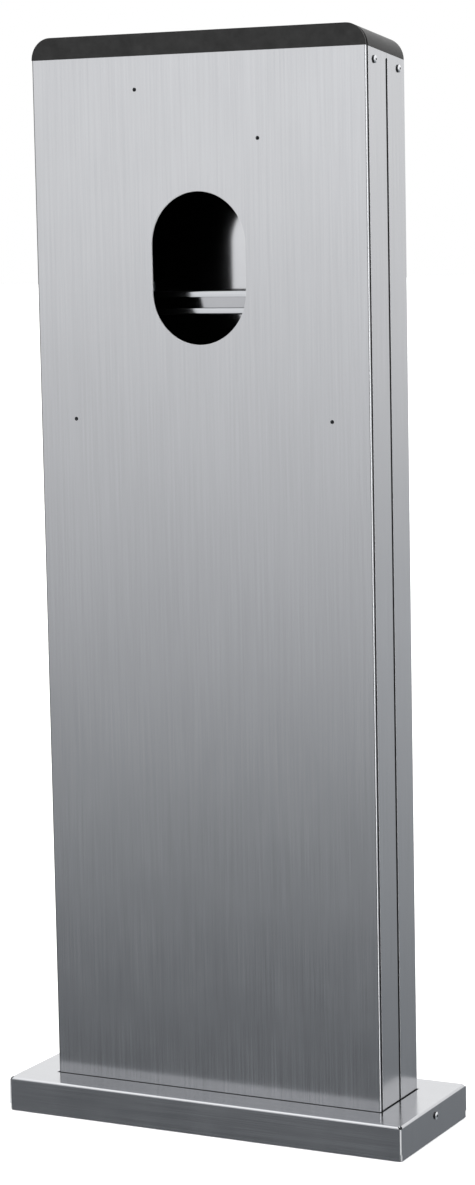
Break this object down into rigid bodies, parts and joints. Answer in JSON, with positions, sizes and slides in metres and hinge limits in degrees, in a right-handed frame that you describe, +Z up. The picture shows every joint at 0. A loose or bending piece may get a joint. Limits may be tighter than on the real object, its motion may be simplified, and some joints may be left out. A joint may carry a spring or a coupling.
{
  "type": "terminal mounting pedestal",
  "caption": "Free-standing stainless-steel sheet-metal pedestal with a black sloping cap, a folded plinth, a front cable opening and screw holes for a wall terminal.",
  "frame": {"origin": "centre of the footprint on the ground", "axes": "+Z up, -Y towards the front panel, +X to the right seen from the front"},
  "size_m": [0.561, 0.204, 1.3732],
  "materials": {
    "brushed_stainless": "fine ground stainless steel",
    "bright_stainless": "bright rolled stainless steel",
    "black_paint": "fine-textured black powder coat",
    "zinc_steel": "zinc-plated steel",
    "black_rubber": "matt black rubber",
    "white_nylon": "natural nylon",
    "brass": "plain brass"
  },
  "bodies": {
    "frame": {"base_plate": "zinc_steel", "entry_edge_trim": "black_rubber", "plinth_brackets": "zinc_steel", "upright_left": "brushed_stainless", "upright_right": "brushed_stainless", "foot_gussets": "zinc_steel", "top_crossbar": "zinc_steel", "middle_crossbar": "zinc_steel", "lower_crossbar": "zinc_steel", "frame_bolts": "zinc_steel", "frame_nuts": "zinc_steel", "c_rail": "bright_stainless", "rail_bracket_left": "zinc_steel", "rail_bracket_right": "zinc_steel", "rail_bolts": "zinc_steel", "rail_slide_nuts": "zinc_steel", "front_panel": "brushed_stainless", "panel_studs": "zinc_steel", "panel_spacers": "black_rubber", "panel_nuts": "zinc_steel", "panel_seals": "black_rubber", "device_nuts": "zinc_steel", "rear_shell": "brushed_stainless", "locating_studs": "zinc_steel", "stud_grommets": "white_nylon", "seam_seals": "black_rubber", "earth_bolt": "zinc_steel", "earth_nuts": "brass", "earth_washers": "bright_stainless", "cap_screws": "bright_stainless", "cap_washers": "zinc_steel", "cap_nuts": "zinc_steel"},
    "cap": {"cap_shell": "black_paint", "cap_front_plate": "black_paint", "cap_plate_studs": "zinc_steel", "cap_plate_spacers": "black_rubber", "cap_plate_nuts": "zinc_steel", "cap_bracket_left": "black_paint", "cap_bracket_right": "black_paint"},
    "plinth": {"plinth_cover": "brushed_stainless", "plinth_screws": "bright_stainless", "plinth_washers": "zinc_steel", "plinth_nuts": "zinc_steel"}
  },
  "joints": [
    {"name": "cap_lift", "type": "slide", "parent": "frame", "child": "cap", "axis": [0, 0, 1], "range_m": [0, 0.06]},
    {"name": "plinth_lift", "type": "slide", "parent": "frame", "child": "plinth", "axis": [0, 0, 1], "range_m": [0, 0.2]}
  ]
}
